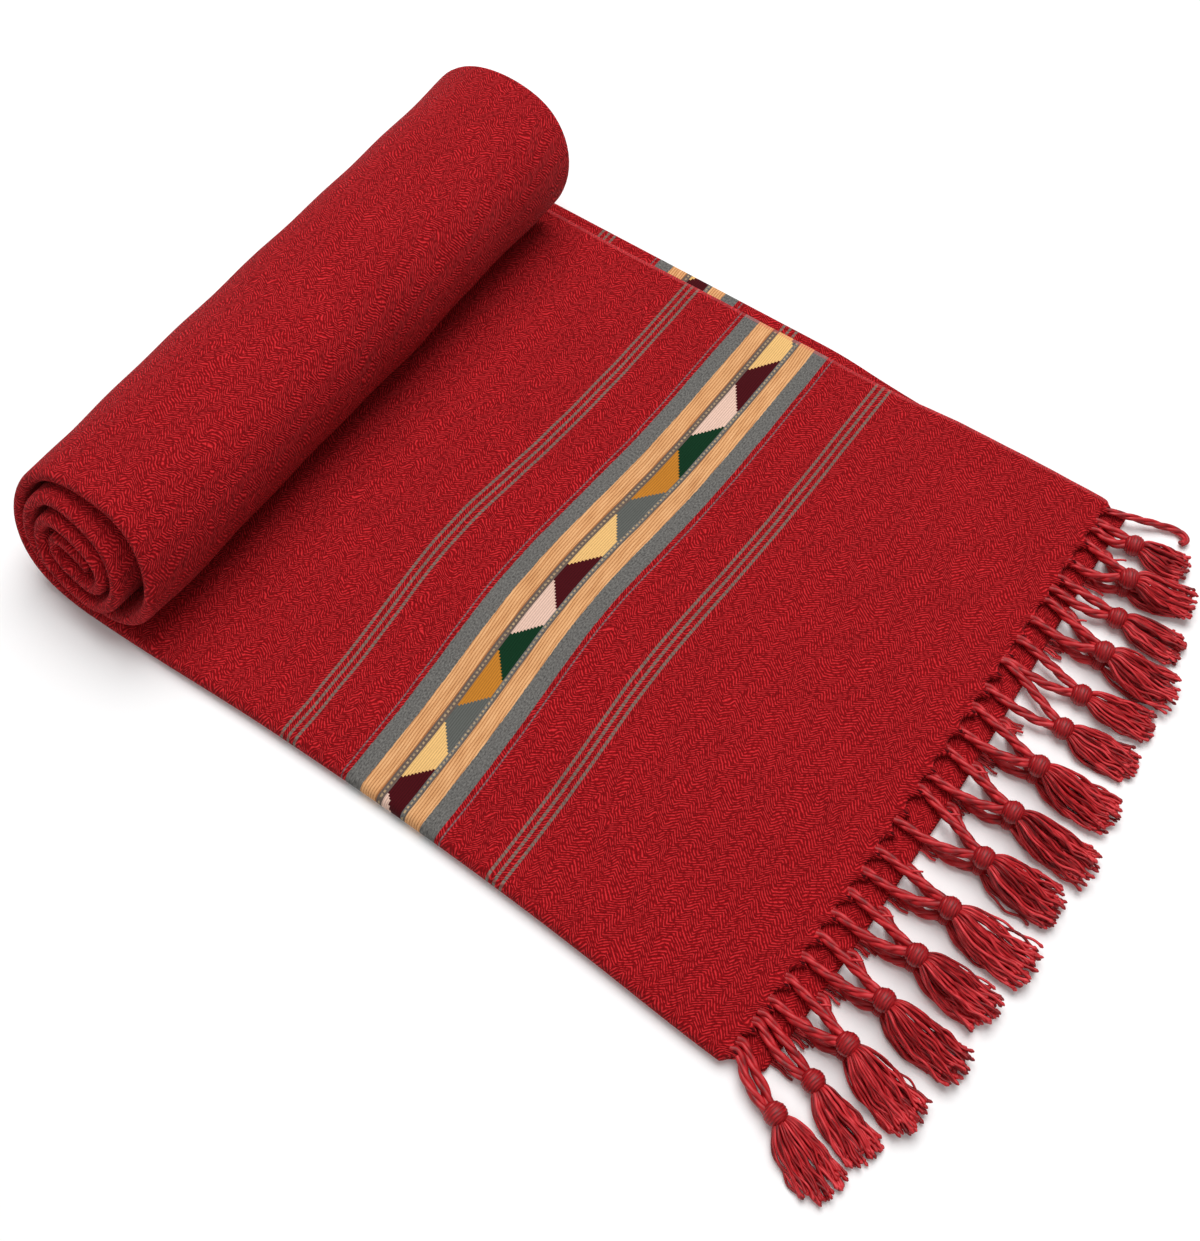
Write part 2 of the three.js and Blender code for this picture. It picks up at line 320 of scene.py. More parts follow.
# Wool cloth: a red herringbone ground with a woven band and two groups of thin lines.
# All places are millimetres along the cloth from the hem, before the weave's own bow.
weave = {
    # the ground's dark and light ends: painted shade between the ribs and painted highlight on their crests
    "groundShaded": (96, 2, 8),
    "ground": (158, 10, 18),
    "groundLit": (208, 42, 48),
    "greyDark": (80, 78, 76),
    "greyLight": (122, 120, 116),
    "tanDark": (158, 102, 62),
    "tan": (210, 150, 98),
    "tanLight": (232, 178, 126),
    "dotLight": (192, 164, 124),
    "lineDark": (78, 66, 62),
    "linePale": (120, 104, 94),
    "groupLine": (118, 114, 104),
    "outerLineDark": (120, 60, 66),
    "outerLinePale": (132, 112, 112),
    "selvedgeLine": (214, 84, 88),
    # painted shade in the notch above each cord's root
    "paintedNotchShade": (40, 0, 4),
    "blocks": [
        (70, 8, 16), (232, 186, 118), (92, 94, 90), (190, 122, 40), (10, 50, 28), (226, 190, 172),
    ],
    "ribBand": 2.6,  # width of one direction of the herringbone
    "ribPitch": 0.86,
    "satinPitch": 0.75,
    "lineGroups": (-133.9, -69.2),
    "lineStep": 2.05,
    "lineWidth": 0.8,
    "outerLines": (-116.6, -85.9),
    "greyEdges": (-115.3, -87.4),
    "tanEdges": (-110.6, -92.0),
    "dotEdges": (-105.9, -96.6),
    "tanLine": (-105.9, -105.6),
    "darkLines": [(-105.6, -103.9), (-96.95, -96.6)],
    "dottedRows": [(-105.05, -104.5), (-97.7, -97.2)],
    "dotPitch": 1.3,
    "blockEdges": (-103.9, -98.0),
    "blockSlant": 0.29,
    "blockSteps": 10,
    "blockRib": 0.62,
    "selvedgePlace": 178.7,
    # where the painted notch shade lies along the cloth, and how fast it widens
    "notchShadeAlong": (-1.6, -0.5),
    "notchShadeSlope": 0.4,
}


# 1 between two places and 0 elsewhere: one comparison times the other
def between(value, low, high):
    return (value > low) * (value < high)


# Herringbone: the cosine of the place across the cloth plus a zigzag along it. A slow
# noise bends the ribs, more in some patches than in others, and a slower one lets the
# lines where the two directions meet wander.
def ribHeight(finish, along, across, band, pitch):
    patch = finish.noise(finish.place(along * 0.05, across * 0.05, 3.0), 1.0, 1.0)
    loose = finish.maths("MAXIMUM", 0.5 + finish.eased(along, -30.0, -95.0) * 0.6 + (patch - 0.5) * 1.6, 0.3)
    first = finish.noise(finish.place(along * 0.45, across * 0.45), 1.0, 0.0)
    second = finish.noise(finish.place(across * 0.45, along * 0.45, 7.0), 1.0, 0.0)
    wander = finish.noise(finish.place(along * 0.1, across * 0.1, 13.0), 1.0, 0.0)
    shiftedAlong = along + (first - 0.5) * loose + (wander - 0.5) * 5.0
    shiftedAcross = across + (second - 0.5) * loose
    zigzag = finish.maths("PINGPONG", shiftedAlong, band)
    turns = (shiftedAcross + zigzag) * (2 * math.pi / pitch)
    return finish.maths("COSINE", turns) * 0.5 + 0.5


# The ground's tone is the rib's height to the power 1.5, stronger in lively spots, plus fuzz:
# lighter on the rib crests as painted highlight and darker between them as painted shade. The band and lines
# are laid over it, each with a mask between two places.
def woolCloth(name):
    finish = Finish(name)
    along, across, blockPlace = finish.clothPlace()
    fine = finish.noise(finish.place(along, across), 3.1, 3.0)
    patchy = finish.noise(finish.place(along * 0.035, across * 0.035), 1.0, 2.0)
    ribs = ribHeight(finish, along, across, weave["ribBand"], weave["ribPitch"])
    lively = finish.noise(finish.place(along * 1.1, across * 1.1, 11.0), 1.0, 1.0)
    # painted highlight on the rib crests and painted shade between them, stronger in lively spots
    strength = finish.eased(lively, 0.3, 0.62) + 0.1
    ribLightShadeAndFuzz = finish.maths("POWER", ribs, 1.5) * strength + fine * 0.8 - 0.22
    ground = finish.ramp(ribLightShadeAndFuzz, [
        (0.0, dye(weave["groundShaded"])),
        (0.5, dye(weave["ground"])),
        (1.0, dye(weave["groundLit"])),
    ])
    ragged = (finish.noise(finish.place(across * 0.9, along * 0.15), 1.0, 1.0) - 0.5) * 0.35
    edge = along + ragged
    speckle = finish.noise(finish.place(along * 2.6, across * 1.5, 3.0), 1.0, 1.0)
    dotTurns = (across + (fine - 0.5) * 0.9) * (2 * math.pi / weave["dotPitch"])
    dots = finish.maths("SINE", dotTurns) * 0.5 + 0.5
    thread = (along + across * 0.04 + (patchy - 0.5) * 1.5) / weave["satinPitch"]
    threadGap = finish.maths("POWER", abs(finish.maths("FRACT", thread) - 0.5) * 2.0, 2.2)
    threadPlace = finish.place(finish.maths("FLOOR", thread) * 3.7, across * 0.16, 5.0)
    threadTone = finish.noise(threadPlace, 1.0, 0.0)

    colour = ground
    greyMask = between(edge, *weave["greyEdges"])
    grey = finish.mix(speckle * 2.4 - 0.7, dye(weave["greyDark"]), dye(weave["greyLight"]))
    colour = finish.mix(greyMask, colour, grey)
    tanMask = between(edge, *weave["tanEdges"])
    # painted shade: the streak darkens toward the gaps between the satin threads
    streak = finish.ramp(threadTone * 0.7 + fine * 0.7 + 0.12 - threadGap * 0.75, [
        (0.0, dye(weave["tanDark"])),
        (0.5, dye(weave["tan"])),
        (1.0, dye(weave["tanLight"])),
    ])
    colour = finish.mix(tanMask, colour, streak)
    colour = finish.mix(between(along, *weave["dotEdges"]), colour, grey)
    lineDark = finish.mix(speckle, dye(weave["lineDark"]), dye(weave["linePale"]))
    for edges in weave["darkLines"]:
        colour = finish.mix(between(along, *edges), colour, lineDark)
    colour = finish.mix(between(along, *weave["tanLine"]), colour, dye(weave["tanDark"]))
    dotted = finish.eased(dots, 0.2, 0.75) * (lively * 1.5 - 0.05)
    for edges in weave["dottedRows"]:
        colour = finish.mix(between(along, *edges) * dotted, colour, dye(weave["dotLight"]))

    low, high = weave["blockEdges"]
    blockMask = between(along, low, high)
    step = finish.maths("FLOOR", (along - low) / (high - low) * weave["blockSteps"])
    slantPlace = (step + 0.5) * (2 / weave["blockSteps"]) - 1.0
    fromOddMiddle = abs((blockPlace - 0.5) % 2.0 - 1.0)
    isOdd = fromOddMiddle < (0.5 - weave["blockSlant"] * slantPlace)
    # painted light and shade: each block colour gets a lighter and a darker copy, mixed by a sine across the
    # block's ribs
    blockRibShade = finish.maths("SINE", along * (2 * math.pi / weave["blockRib"])) * 0.5 + 0.5
    litAndShadedBlocks = [[dye([c * k for c in colour]) for k in (0.9, 1.06)] for colour in weave["blocks"]]

    def choose(order, start):
        which = finish.maths("FLOOR", (blockPlace - start) / 2.0) % 3.0
        first, second, third = (finish.mix(blockRibShade, *litAndShadedBlocks[k]) for k in order)
        chosen = finish.mix(which > 0.5, first, second)
        return finish.mix(which > 1.5, chosen, third)

    blocks = finish.mix(isOdd, choose((0, 2, 4), -0.5), choose((1, 3, 5), 0.5))
    colour = finish.mix(blockMask, colour, blocks)

    thin = finish.mix(dots, dye(weave["outerLineDark"]), dye(weave["outerLinePale"]))
    lineMask = 0.0
    groupHalf = 1.5 * weave["lineStep"]
    for middle in weave["lineGroups"]:
        inStep = (along - (middle - groupHalf)) % weave["lineStep"]
        fromLine = abs(inStep - weave["lineStep"] / 2)
        inGroup = between(along, middle - groupHalf, middle + groupHalf)
        lineMask = inGroup * (fromLine < weave["lineWidth"] / 2) + lineMask
    colour = finish.mix(lineMask * (dots * 0.55 + 0.45), colour, dye(weave["groupLine"]))
    for middle in weave["outerLines"]:
        colour = finish.mix(abs(along - middle) < 0.2, colour, thin)

    selvedge = abs(across - weave["selvedgePlace"]) < 0.3
    colour = finish.mix(selvedge * 0.3, colour, dye(weave["selvedgeLine"]))
    # painted shade: a dark spot of three corners above each cord's root, where the notch between its strands
    # lies in shade
    halfPitch = flatStretch["rootPitch"] / 2
    fromRoot = abs((across - flatStretch["firstRoot"] + halfPitch) % flatStretch["rootPitch"] - halfPitch)
    notchShadeLow, notchShadeHigh = weave["notchShadeAlong"]
    notchShade = (fromRoot < (along - notchShadeLow) * weave["notchShadeSlope"]) * between(along, notchShadeLow, notchShadeHigh)
    colour = finish.mix(notchShade * 0.85, colour, dye(weave["paintedNotchShade"]))
    colour = finish.add(
        "ShaderNodeHueSaturation", {}, {"Value": patchy * 0.16 + 0.92, "Color": colour}
    )

    bandHeight = 0.4 - threadGap * 0.4 + speckle * 0.6
    height = ribs * 0.8 + fine * 0.35
    height = height + greyMask * (bandHeight - height)
    finish.set(
        Base_Color=colour,
        Roughness=0.9,
        Specular_IOR_Level=0.12,
        Sheen_Weight=0.02,
        Sheen_Roughness=0.5,
        Normal=finish.bump(height, 0.3, 0.8),
    )
    return finish.material


clothFinish = woolCloth("redHerringboneWool")
print("wool finish ready")


weaveBow = {
    "grownBy": 150.0,  # way from the hem at which the bow is full
    "bell": 0.032,
    "bellMiddle": 72,
    "bellWidth": 38,
    "slant": 0.012,
    "firstBlock": 11.31,
    "blockGrowth": 0.117,
}


# Stripes lie a little bowed toward the roll: the place in the weave is the place along
# the cloth, moved by a bell across it and a slight slant, both growing from the hem.
# Blocks widen from the fold edge: across = firstBlock n + blockGrowth n squared.
def weavePlace(along, across):
    grow = np.minimum(np.abs(along), weaveBow["grownBy"])
    fromFold = np.abs(across)
    bell = weaveBow["bell"] * np.exp(-(((fromFold - weaveBow["bellMiddle"]) / weaveBow["bellWidth"]) ** 2))
    slant = weaveBow["slant"] * (1 - fromFold / cloth["foldedWidth"])
    first, growth = weaveBow["firstBlock"], weaveBow["blockGrowth"]
    blocks = (np.sqrt(first ** 2 + 4 * growth * fromFold) - first) / (2 * growth)
    along, across, blocks = np.broadcast_arrays(along + grow * (bell + slant), across, blocks)
    return np.stack([along, across, blocks], -1)


# The fold edge isn't straight: bells along it, and it flares out beside the roll
def foldBow(x):
    bells = sum(
        height * np.exp(-(((x - middle) / width) ** 2)) for height, middle, width in cloth["foldBells"]
    )
    return bells - cloth["foldFlare"] * smoothStep(-x, *cloth["foldFlareAlong"])


# Near the hem the far edge reaches out a little, too: one S curve along times one across
def selvedgeReach(x, y):
    along = smoothStep(x, *cloth["hemSelvedgeAlong"])
    return cloth["hemSelvedgeReach"] * along * smoothStep(y, *cloth["hemSelvedgeAcross"])


# The hem draws back by the square of the way into its stretch beside the fold edge
def hemSetBack(y):
    return -cloth["hemSetBack"] * np.maximum(0.0, 1 - y / cloth["hemSetBackWidth"]) ** 2


# The lower layer's hem reaches out less toward the selvedges, by an S curve
def underHem(y):
    return cloth["underHemReach"] * (1 - cloth["underHemDraw"] * smoothStep(y, *cloth["underHemDrawAcross"]))


# The closed outline of a thin sheet is its middle line plus half the thickness along
# the outward way, which goes half round at both edges
def sheetOutline(middle):
    ahead = unit(np.gradient(middle, axis=0))
    left = np.stack([-ahead[:, 1], ahead[:, 0]], 1)
    turn = np.linspace(0, math.pi, 6)[1:-1, None]
    endRound = np.cos(turn) * left[-1] + np.sin(turn) * ahead[-1]
    startRound = -np.cos(turn) * left[0] - np.sin(turn) * ahead[0]
    count = len(turn)
    centre = np.concatenate([
        middle, np.repeat(middle[-1:], count, 0), middle[::-1], np.repeat(middle[:1], count, 0)
    ])
    outward = np.concatenate([left, endRound, -left[::-1], startRound])
    return centre, outward


# Both ends of a swept sheet are closed by quads from its outer to its inner side
def sheetFaces(rings, around, middleCount):
    side = ringFaces(rings, around)
    here = np.arange(middleCount - 1)
    rounding = (around - 2 * middleCount) // 2
    inner = 2 * middleCount + rounding - 1 - here
    strip = np.stack([here, inner, inner - 1, here + 1], -1)
    endRound = np.arange(middleCount - 1, middleCount + rounding + 1)[None]
    startRound = np.concatenate([np.arange(2 * middleCount + rounding - 1, around), [0]])[None]
    last = (rings - 1) * around
    return [
        np.concatenate([side, strip, last + strip[:, ::-1]]),
        np.concatenate([endRound[:, ::-1], startRound[:, ::-1], last + endRound, last + startRound]),
    ]


# The middle line of doubled cloth: in along the lower layer, round the fold, out along
# the upper layer. Its third number is the place across the weave.
def foldedMiddle(lowerStops, upperStops):
    angle = np.linspace(-90, -270, 13)[1:-1] * math.pi / 180
    arc = np.stack([
        halfDoubled + layerMiddle * np.cos(angle),
        layerMiddle * np.sin(angle),
        np.linspace(-1.6, 1.6, 11),
    ], 1)
    lower = np.stack([lowerStops, np.full(len(lowerStops), -layerMiddle), -lowerStops], 1)
    upper = np.stack([upperStops, np.full(len(upperStops), layerMiddle), upperStops], 1)
    return np.concatenate([lower[::-1], arc, upper])


# The place across the weave at each point of a doubled sheet's outline
def acrossWeave(middle):
    v = middle[:, 2]
    return np.concatenate([v, np.full(4, v[-1]), v[::-1], np.full(4, v[0])])


# Flat stretch. The top layer turns under at the fold edge and ends in small arches
# between the cords of the fringe.

# Fullness of the sheet's thickness near the hem: a quarter circle down to the cut edge
def hemFullness(distance, thickness):
    inside = np.clip(distance / (thickness / 2), 0.0, 1.0)
    return np.sqrt(np.maximum(1 - (1 - inside) ** 2, 0.02))


# Place along the hem of a root by its number, which may lie between two whole ones
def rootPlace(root):
    return flatStretch["firstRoot"] + flatStretch["rootPitch"] * root


# The doubled sheet's outline is carried along x. At the hem each point moves out by the
# cusp's reach times a sharp bell round its root, less the arch's depth times the rest.
def makeTopLayer(place):
    length = place["length"]
    lower = np.array([halfDoubled, cloth["foldLip"] - 0.4])
    roots = rootPlace(np.arange(place["rootCount"]))
    upper = (roots[:, None] + np.array(place["rootStops"])).ravel()
    upper = upper[(upper > halfDoubled + 0.1) & (upper < cloth["foldedWidth"] - 1.4)]
    upper = np.append(upper, cloth["foldedWidth"] - cloth["thickness"] / 2)
    middle = foldedMiddle(lower, upper)
    centre, outward = sheetOutline(middle[:, :2])
    v = acrossWeave(middle)
    fine = np.array([4.0, 3.2, 2.5, 1.9, 1.4, 1.0, 0.7, 0.45, 0.25, 0.1, 0.0])
    stops = np.concatenate([-np.linspace(length, 5.0, int((length - 5) / place["step"])), -fine])
    x, y = np.meshgrid(stops, centre[:, 0], indexing="ij")
    fullness = hemFullness(-x, cloth["thickness"]) * cloth["thickness"] / 2
    y = centre[None, :, 0] + outward[None, :, 0] * fullness
    z = halfDoubled + centre[None, :, 1] + outward[None, :, 1] * fullness
    near = smoothStep(x, -60, 0)
    upperShare = smoothStep(centre[None, :, 1], 0, layerMiddle)
    fromRoot = np.abs((y - roots[0] + place["rootPitch"] / 2) % place["rootPitch"] - place["rootPitch"] / 2)
    cusp = np.exp(-((fromRoot / place["cuspWidth"]) ** 1.5))
    hemShift = place["cuspReach"] * cusp - place["archDepth"] * (1 - cusp)
    swell = softWaves(x, y, 11, 90) * place["swell"] + softWaves(x, y, 12, 26, 9) * 0.1
    calm = smoothStep(y, 2, 12) * upperShare * smoothStep(x, -length, -length + 14)
    points = np.stack([
        x + hemSetBack(y) * near + hemShift * smoothStep(x, -3.6, 0),
        y + foldBow(x) * (1 - y / cloth["foldedWidth"]) + selvedgeReach(x, y),
        z + (swell * calm - 0.25 * (1 - cusp) * smoothStep(x, -3, 0) * upperShare),
    ], -1)
    values = weavePlace(x, np.broadcast_to(v, x.shape))
    faces = sheetFaces(len(stops), len(v), len(middle))
    return addPiece("topLayer", (points, faces, values), clothFinish, ["top_layer"])


# One flat sheet from the fold's lip to past the upper selvedge. Its stretch beyond x = 0
# is scaled to the lower hem's own reach.
def makeUnderLayer(place):
    length = place["length"]
    reach = cloth["underHemReach"]
    inner = cloth["foldLip"] + cloth["layerGap"]
    count = 160
    share = np.linspace(0, 1, count)
    centre, outward = sheetOutline(np.stack([share, np.full(count, 0.0)], 1))
    stops = np.concatenate([
        np.linspace(-length, 0, 76)[:-1], [0, 1, 2, 3, 4],
        reach - np.array([2.2, 1.5, 1, 0.65, 0.4, 0.2, 0.08, 0]),
    ])
    x = np.repeat(stops[:, None], len(centre), 1)
    beyond = 1 - smoothStep(x, *cloth["underSelvedgeAlong"])
    selvedge = cloth["foldedWidth"] + cloth["underSelvedgeReach"] * beyond
    fullness = hemFullness(reach - x, cloth["thickness"]) * cloth["thickness"] / 2
    half = cloth["thickness"] / 2
    y = inner + half + (selvedge - inner - 2 * half) * centre[None, :, 0] + outward[None, :, 0] * fullness
    z = halfDoubled - layerMiddle + outward[None, :, 1] * fullness
    near = smoothStep(x, -60, 0)
    points = np.stack([
        np.where(x > 0, x * underHem(y) / reach, x) + hemSetBack(y) * near,
        y + foldBow(x) * (1 - y / cloth["foldedWidth"]) + selvedgeReach(x, y),
        np.broadcast_to(z, x.shape),
    ], -1)
    shifted = x + place["underWeaveShift"] * smoothStep(y, *place["underWeaveAcross"])
    values = weavePlace(shifted, y) - np.array([0.0, 0.0, place["underBlockShift"]])
    faces = sheetFaces(len(stops), len(centre), count)
    return addPiece("underLayer", (points, faces, values), clothFinish, ["under_layer"])


topLayer = makeTopLayer(flatStretch)
underLayer = makeUnderLayer(flatStretch)
print("flat stretch laid out")


# Roll: doubled cloth wound in an oval spiral that leans toward the selvedges

roll = {
    "axis": -203.3,
    "radius": 20.6,
    "coreHalfLength": 7.75,
    "coreHalfHeight": 1.6,
    "turnPitch": 5.0,
    "turns": 3.57,
    "lean": 0.38,
    "nearLean": 16.6,  # at the crest, over the flare at the table
    "nearLeanPower": 1.35,
    "drawIn": 8.0,
    "rolledUnderReach": 1.5,
    "step": 1.9,
    # from the second turn on the cloth lies back, lower and tilted, and stands out at the near end
    "settleTurns": (1.0, 1.45),
    "settleBack": 2.0,
    "settleDown": 0.6,
    "settleTilt": 11.0,
    "standOut": 3.8,
    "standOutFall": 0.08,  # for each mm above standOutLevel
    "standOutLevel": 8,
    "dent": 0.35,
    "edgeTightness": 0.22,
}


# The spiral's middle line: a circle of shrinking radius carried round an oval core. The
# core's own oval is tilted, so the point on it comes from the way out turned into it.
def spiral(turn):
    angle = 2 * math.pi * turn
    outX, outZ = -np.sin(angle), -np.cos(angle)
    inside = smoothStep(turn, *roll["settleTurns"])
    radius = roll["radius"] - halfDoubled - roll["turnPitch"] * turn
    halfLength = roll["coreHalfLength"] - roll["settleBack"] * inside
    halfHeight = roll["coreHalfHeight"] - roll["settleDown"] * inside
    tilt = -math.radians(roll["settleTilt"]) * inside
    turnedX = outX * np.cos(tilt) + outZ * np.sin(tilt)
    turnedZ = outZ * np.cos(tilt) - outX * np.sin(tilt)
    support = np.hypot(halfLength * turnedX, halfHeight * turnedZ)
    coreX, coreZ = halfLength ** 2 * turnedX / support, halfHeight ** 2 * turnedZ / support
    x = roll["axis"] - roll["settleBack"] * inside + radius * outX
    z = roll["radius"] + roll["coreHalfHeight"] - roll["settleDown"] * inside + radius * outZ
    x = x + coreX * np.cos(tilt) - coreZ * np.sin(tilt)
    z = z + coreX * np.sin(tilt) + coreZ * np.cos(tilt)
    return x, z, -outX, -outZ


# The doubled sheet's outline is carried along the spiral in even steps. Each point is the
# spiral's, moved inward by its height over the middle line and leaned along the roll.
def makeRoll(place):
    turns = np.linspace(0, place["turns"], 6001)
    x, z, _, _ = spiral(turns)
    run = np.concatenate([[0.0], np.cumsum(np.hypot(np.diff(x), np.diff(z)))])
    count = int(run[-1] / place["step"])
    lengths = np.linspace(0, run[-1], count)
    turn = np.interp(lengths, run, turns)
    x, z, inX, inZ = spiral(turn)

    lowerStops = np.linspace(0, 1, 92)
    atEdge = np.linspace(0, 0.08, 9)
    upperStops = np.concatenate([atEdge, np.linspace(0.11, 0.89, 27), 0.92 + atEdge])
    middle = foldedMiddle(
        halfDoubled + lowerStops * (cloth["foldedWidth"] - halfDoubled),
        halfDoubled + upperStops * (cloth["foldedWidth"] - halfDoubled),
    )
    centre, outward = sheetOutline(middle[:, :2])
    v = acrossWeave(middle)
    drawn = smoothStep(turn, 0, 0.3)[:, None]
    upperEdge = cloth["foldedWidth"] - place["drawIn"] * drawn
    lowerEdge = upperEdge + cloth["underSelvedgeReach"] * (1 - drawn) + place["rolledUnderReach"] * drawn
    isUpper = centre[None, :, 1] > 0
    edge = np.where(isUpper, upperEdge, lowerEdge) - cloth["thickness"] / 2
    stretch = (edge - halfDoubled) / (cloth["foldedWidth"] - halfDoubled)
    flatAcross = np.where(
        centre[None, :, 0] > halfDoubled,
        halfDoubled + (centre[None, :, 0] - halfDoubled) * stretch,
        centre[None, :, 0],
    )
    half = cloth["thickness"] / 2
    across = flatAcross + outward[None, :, 0] * half
    height = centre[None, :, 1] + outward[None, :, 1] * half
    # the far end leans by its height, the near one by a power of it, less what stands out
    farLean = place["lean"] * (z - halfDoubled)
    crest = 2 * place["radius"] + 2 * place["coreHalfHeight"] - halfDoubled
    heightShare = np.clip((z - halfDoubled) / (crest - halfDoubled), 0.0, 1.0)
    standOut = place["standOut"] - place["standOutFall"] * (z - place["standOutLevel"])
    standOut = standOut * smoothStep(turn, *place["settleTurns"])
    risen = place["nearLean"] * heightShare ** place["nearLeanPower"]
    nearLean = risen - cloth["foldFlare"] - standOut
    wobble = 0.5 * softWaves(turn * 60, turn * 0, 21, 60, 5) * smoothStep(turn, 0.1, 0.5)
    nearness = 1 - across / cloth["foldedWidth"]
    dent = softWaves((x + 0.6 * z)[:, None], across, 22, 70) * place["dent"]
    wound = smoothStep(turn, 0.1, 0.3)[:, None]
    tight = 1 - place["edgeTightness"] * (1 - smoothStep(across, 1.0, 14.0)) * wound
    lift = height * tight + dent * wound
    points = np.stack([
        x[:, None] + lift * inX[:, None],
        across + (farLean + wobble)[:, None] + (nearLean - farLean)[:, None] * nearness,
        z[:, None] + lift * inZ[:, None],
    ], -1)
    values = weavePlace(-(flatStretch["length"] + lengths)[:, None], np.broadcast_to(v, across.shape))
    made = points, sheetFaces(count, len(v), len(middle)), values
    nodes = ["roll_outer_turn", "roll_inner_turns"]
    return addPiece("rolledEnd", made, clothFinish, nodes), lengths[-1]


rolledEnd, rolledLength = makeRoll(roll)
print(f"rolled {rolledLength:.0f} mm of doubled cloth")


# Fringe yarn: along, round and a number of its own for each thread
# tones of the yarn from dark to light: partly the threads' own dye, partly painted shade in the gaps and
# painted highlight on top
fringeDyeAndShade = {"dark": (100, 2, 8), "middle": (182, 20, 28), "light": (230, 68, 74)}


# A sine of along and around gives the yarn's ply, for the bump and in the tone, where it is painted shade in
# the grooves and painted highlight on the crests. The tone adds fuzz and the thread's own number to it.
def fringeYarn(name):
    finish = Finish(name)
    along, around, own = finish.clothPlace()
    ply = finish.maths("SINE", (along * 0.25 + around * 2.0) * (2 * math.pi)) * 0.5 + 0.5
    fuzz = finish.noise(finish.place(along * 0.35, around * 4.0, own * 37.0), 1.0, 2.0)
    # the ply's share of the tone is painted shade in its grooves and painted highlight on its crests
    tone = ply * 0.22 + fuzz * 0.9 + own * 0.62 - 0.4
    colour = finish.ramp(tone, [
        (0.05, dye(fringeDyeAndShade["dark"])),
        (0.5, dye(fringeDyeAndShade["middle"])),
        (0.95, dye(fringeDyeAndShade["light"])),
    ])
    finish.set(
        Base_Color=colour,
        Roughness=0.5,
        Specular_IOR_Level=0.4,
        Normal=finish.bump(ply * 0.4 + fuzz * 0.6, 0.05, 0.5),
    )
    return finish.material


yarnFinish = fringeYarn("redFringeYarn")


# Round tubes along many paths at once: paths are (threads, steps, 3) and radii fit them
def tubes(paths, radii, sides, own):
    ahead = unit(np.gradient(paths, axis=1))
    aside = unit(np.cross(ahead, (0.0, 0.0, 1.0)))
    above = np.cross(aside, ahead)
    angle = np.arange(sides) * (2 * math.pi / sides)
    cosine, sine = np.cos(angle)[:, None], np.sin(angle)[:, None]
    ring = cosine * aside[:, :, None] + sine * above[:, :, None]
    points = paths[:, :, None] + ring * radii[:, :, None, None]
    threads, steps = paths.shape[:2]
    strides = np.linalg.norm(np.diff(paths, axis=1), axis=-1)
    run = np.concatenate([np.zeros((threads, 1)), np.cumsum(strides, 1)], 1)
    values = np.stack(np.broadcast_arrays(
        run[:, :, None], (angle / (2 * math.pi))[None, None], own[:, None, None]
    ), -1)
    side = ringFaces(steps, sides)
    starts = (np.arange(threads) * steps * sides)[:, None, None]
    cap = np.arange(sides)[None]
    caps = np.concatenate([cap[:, ::-1], cap + (steps - 1) * sides])
    faces = [(side + starts).reshape(-1, 4), (caps + starts).reshape(-1, sides)]
    return points.reshape(-1, 3), faces, values.reshape(-1, 3)


# A smooth curve through the stops: on each stretch a cubic of its four nearest stops
def smoothPath(stops, count):
    stops = np.asarray(stops, float)
    share = np.linspace(0, len(stops) - 1, count)
    knot = np.minimum(share.astype(int), len(stops) - 2)
    t = (share - knot)[:, None]
    padded = np.concatenate([2 * stops[:1] - stops[1:2], stops, 2 * stops[-1:] - stops[-2:-1]])
    a, b, c, d = (padded[knot + k] for k in range(4))
    squared = (2 * a - 5 * b + 4 * c - d) * t ** 2
    cubed = (3 * b - 3 * c + d - a) * t ** 3
    return 0.5 * (2 * b + (c - a) * t + squared + cubed)


cordForm = {"plies": (0.76, 0.7, 0.66), "offset": 0.56, "parting": 0.06, "pitch": 15.0}


# Three plies wound round a path: each follows it at a small distance, turning as it
# goes, and they part a little before the bead
def twistedCord(stops, seed, size=1.0):
    path = smoothPath(stops, 46)
    strides = np.linalg.norm(np.diff(path, axis=0), axis=1)
    run = np.concatenate([[0.0], np.cumsum(strides)])
    parting = cordForm["parting"] * np.sin(math.pi * smoothStep(run / run[-1], 0.3, 1.0))
    offset = (cordForm["offset"] + parting) * size
    starts = np.arange(3)[:, None] * (2 * math.pi / 3)
    angle = run * (2 * math.pi / cordForm["pitch"]) + seed + starts
    ahead = unit(np.gradient(path, axis=0))
    aside = unit(np.cross(ahead, (0.0, 0.0, 1.0)))
    above = np.cross(aside, ahead)
    turned = np.cos(angle)[..., None] * aside + np.sin(angle)[..., None] * above
    paths = path + turned * offset[:, None]
    radii = np.array(cordForm["plies"])[:, None] * np.full(len(path), size)
    return tubes(paths, radii, 7, np.array([0.3, 0.62, 0.45]))


# A thread end that has come out of a cord and points away from it
def strayThread(start, way):
    t = np.linspace(0, 1, 9)[:, None]
    bent = np.array([0.25 * way[1], -0.25 * way[0], 0.9]) * np.sin(math.pi * t) * 0.7
    path = start + way * t * 3.2 + bent
    return tubes(path[None], np.linspace(0.34, 0.26, 9)[None], 5, np.array([0.8]))


